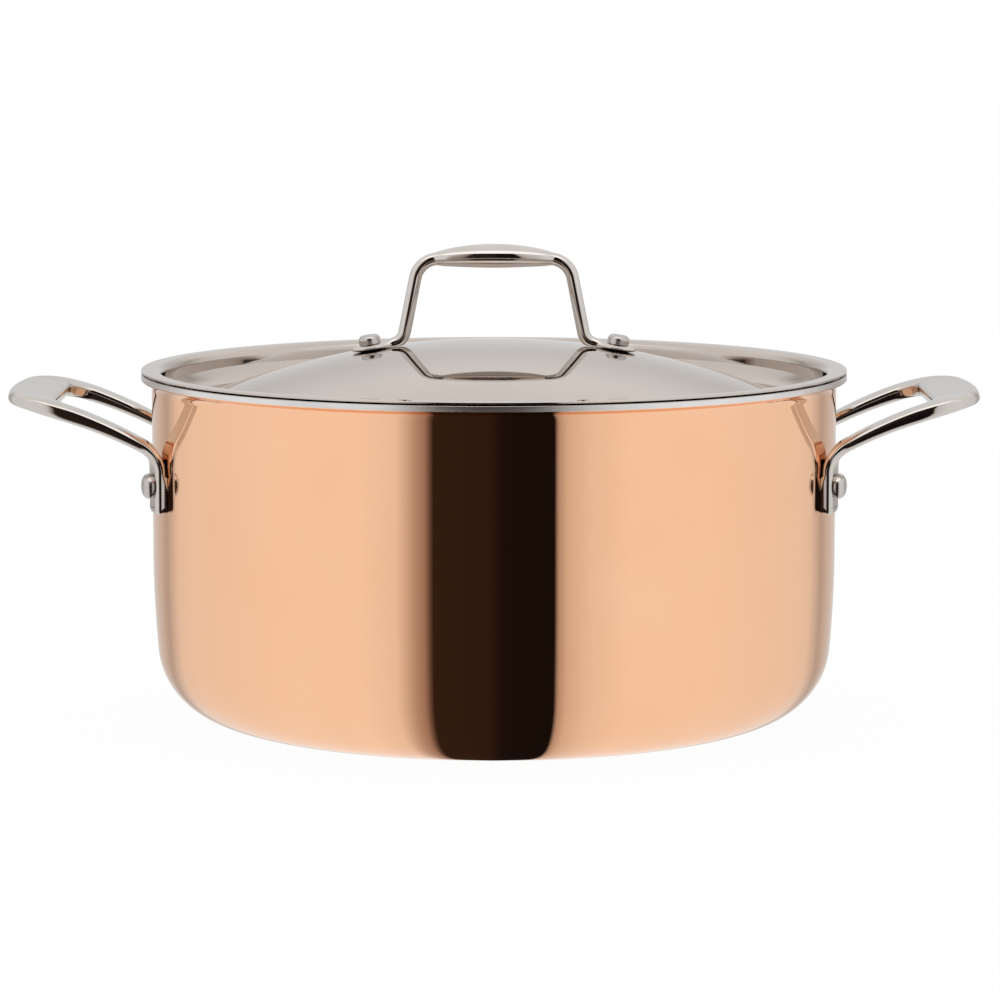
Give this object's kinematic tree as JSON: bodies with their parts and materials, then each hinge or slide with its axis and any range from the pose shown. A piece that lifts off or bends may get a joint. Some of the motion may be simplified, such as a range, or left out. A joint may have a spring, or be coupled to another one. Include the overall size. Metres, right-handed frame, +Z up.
{
  "type": "covered soup kettle",
  "caption": "Round covered soup kettle with a polished copper outside, a steel lining, cast side handles and a domed steel lid that lifts off.",
  "frame": {"origin": "centre of the base, on the surface it stands on", "axes": "+X through the right-hand side handle, -Y towards the front, +Z up through the lid handle"},
  "size_m": [0.3454, 0.252, 0.1695],
  "materials": {
    "copper": "mirror-polished copper",
    "core": "bonded aluminium, seen only at the cut edge of the lip",
    "liner_steel": "fine circular satin inside, polished lip",
    "cast_steel": "polished cast stainless steel",
    "rivet_steel": "tumbled stainless steel",
    "lid_steel": "mirror-polished stainless steel",
    "handle_steel": "polished stainless steel rod"
  },
  "bodies": {
    "pot": {"copper_shell": "copper", "aluminium_core": "core", "steel_liner": "liner_steel", "left_handle": "cast_steel", "right_handle": "cast_steel", "left_front_rivet": "rivet_steel", "left_rear_rivet": "rivet_steel", "right_front_rivet": "rivet_steel", "right_rear_rivet": "rivet_steel"},
    "lid": {"lid": "lid_steel", "lid_handle": "handle_steel", "lid_left_rivet": "rivet_steel", "lid_right_rivet": "rivet_steel"}
  },
  "joints": [
    {"name": "lid_lift", "type": "slide", "parent": "pot", "child": "lid", "axis": [0, 0, 1], "range_m": [0, 0.15]}
  ]
}
